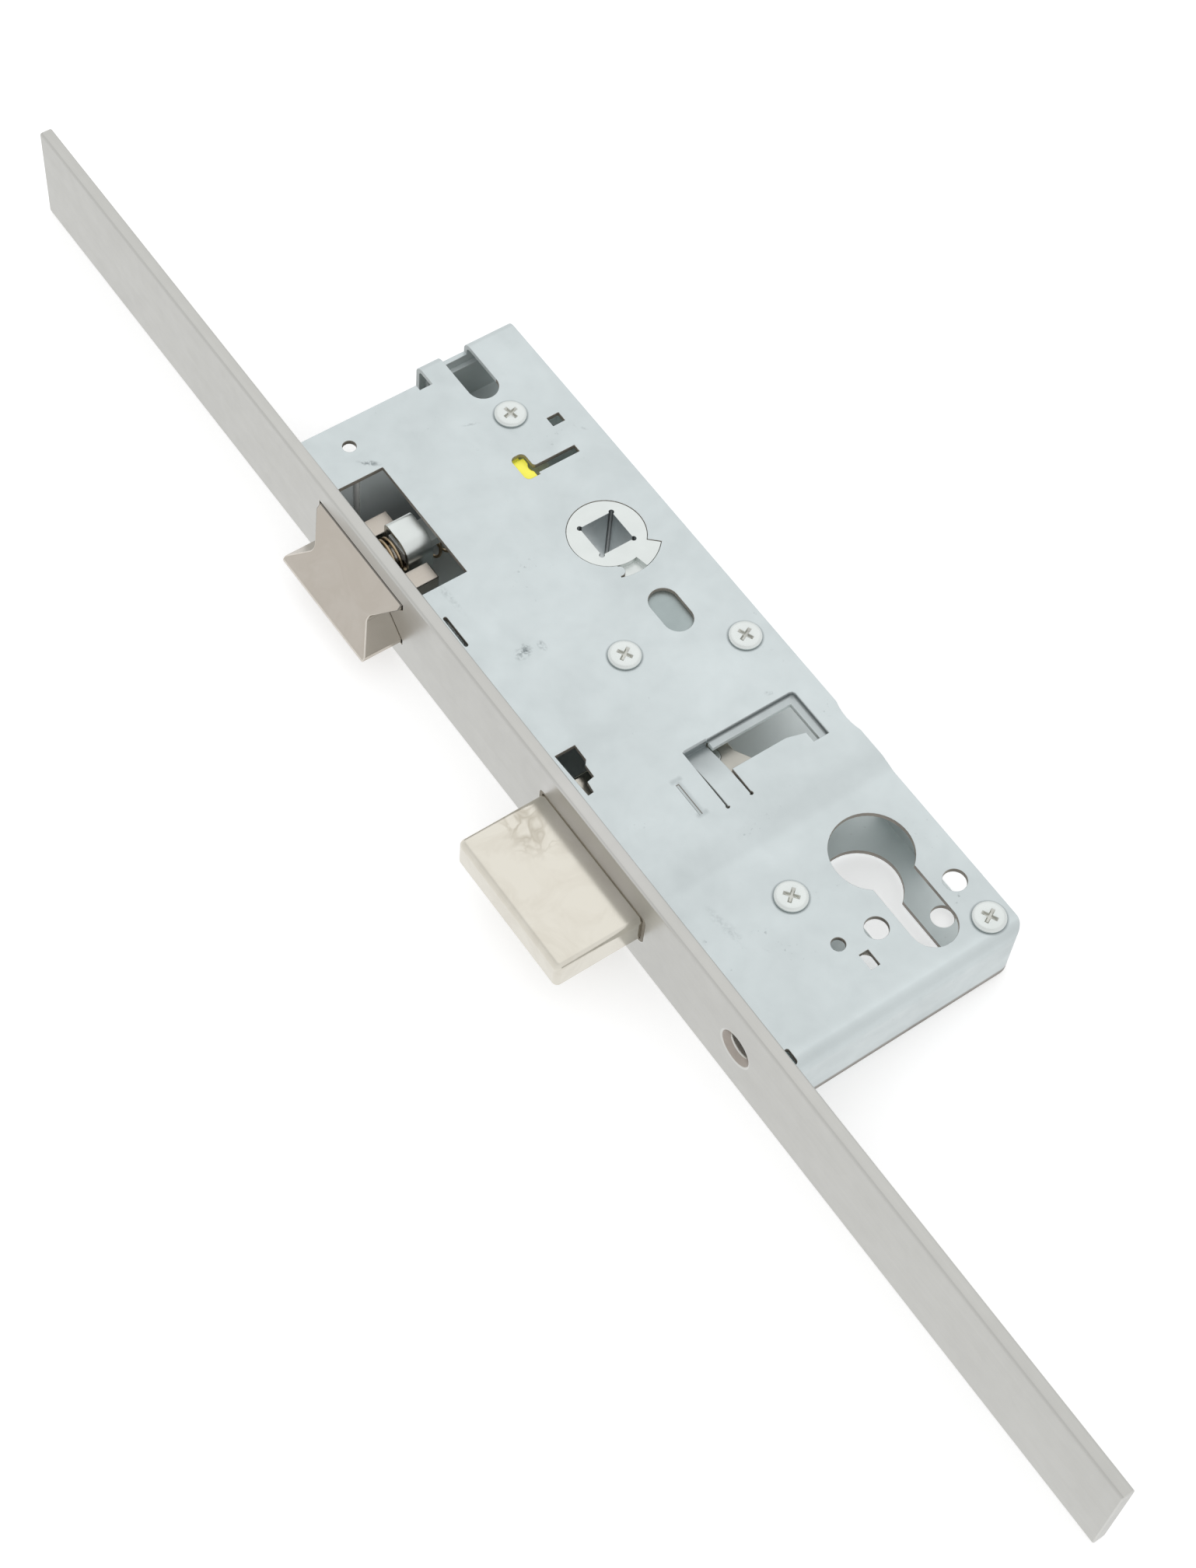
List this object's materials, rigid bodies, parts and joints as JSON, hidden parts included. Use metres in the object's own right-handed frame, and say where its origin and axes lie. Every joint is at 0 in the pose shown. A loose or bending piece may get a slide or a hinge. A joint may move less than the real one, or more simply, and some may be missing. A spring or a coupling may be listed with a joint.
{
  "type": "narrow mortise lock",
  "caption": "Narrow mortise lock with a long flat faceplate, bevelled reversible latch, thrown deadbolt, square follower and euro-profile cylinder cut-out.",
  "frame": {"origin": "centre of the round part of the euro-profile cylinder cut-out, in the middle of the lower case's thickness", "axes": "+X along the faceplate towards its cylinder end, +Y from the faceplate into the case, +Z out of the screwed cover; latch and deadbolt leave towards -Y"},
  "size_m": [0.372, 0.08, 0.025],
  "materials": {
    "faceplate_steel": "satin ground steel",
    "zinc_sheet": "dull zinc-plated sheet, cool grey",
    "bright_zinc": "bright zinc plating",
    "latch_nickel": "satin nickel plating, warm",
    "bolt_nickel": "polished nickel plating, smudged",
    "spring_wire": "oiled spring wire",
    "yellow_plastic": "moulded, glossy"
  },
  "bodies": {
    "case": {"faceplate": "faceplate_steel", "case_back": "zinc_sheet", "case_cover": "zinc_sheet", "cover_posts": "bright_zinc", "cover_screws": "bright_zinc", "latch_guide_posts": "bright_zinc", "return_spring_post": "bright_zinc", "throw_pivot": "bright_zinc", "tail_guide_pin": "bright_zinc", "return_spring": "spring_wire", "latch_spring": "spring_wire", "deadbolt_detent_spring": "spring_wire", "cover_support_plate": "bright_zinc"},
    "follower": {"follower": "bright_zinc", "follower_arm": "bright_zinc"},
    "latch": {"latch_bolt": "latch_nickel", "latch_tail": "bright_zinc", "latch_tail_rivets": "bright_zinc", "latch_saddle": "bright_zinc", "latch_head_spring": "spring_wire"},
    "reversing_slide": {"reversing_slide": "yellow_plastic"},
    "deadbolt": {"deadbolt": "bolt_nickel", "deadbolt_tail": "bolt_nickel", "deadbolt_rivets": "bolt_nickel"},
    "throw_lever": {"throw_lever": "bright_zinc", "throw_pin": "bright_zinc"}
  },
  "joints": [
    {"name": "follower_turn", "type": "hinge", "parent": "case", "child": "follower", "pos_m": [-0.09, 0, 0], "axis": [0, 0, 1], "range_deg": [-24, 0], "deforming": ["return_spring"]},
    {"name": "latch_slide", "type": "slide", "parent": "case", "child": "latch", "axis": [0, 1, 0], "range_m": [0, 0.00948], "stiffness_N_per_m": 600, "springref_m": -0.02, "deforming": ["latch_spring"]},
    {"name": "reversing_shift", "type": "slide", "parent": "latch", "child": "reversing_slide", "axis": [-1, 0, 0], "range_m": [0, 0.0025]},
    {"name": "deadbolt_slide", "type": "slide", "parent": "case", "child": "deadbolt", "axis": [0, 1, 0], "range_m": [0, 0.02], "deforming": ["deadbolt_detent_spring"]},
    {"name": "throw_turn", "type": "hinge", "parent": "case", "child": "throw_lever", "pos_m": [-0.019, -0.002, 0], "axis": [0, 0, 1], "range_deg": [-60, 0]}
  ],
  "couplings": [
    {"joint": "follower_turn", "follows": "latch_slide", "rad_per_m": -44.182},
    {"joint": "throw_turn", "follows": "deadbolt_slide", "rad_per_m": -52.36}
  ]
}
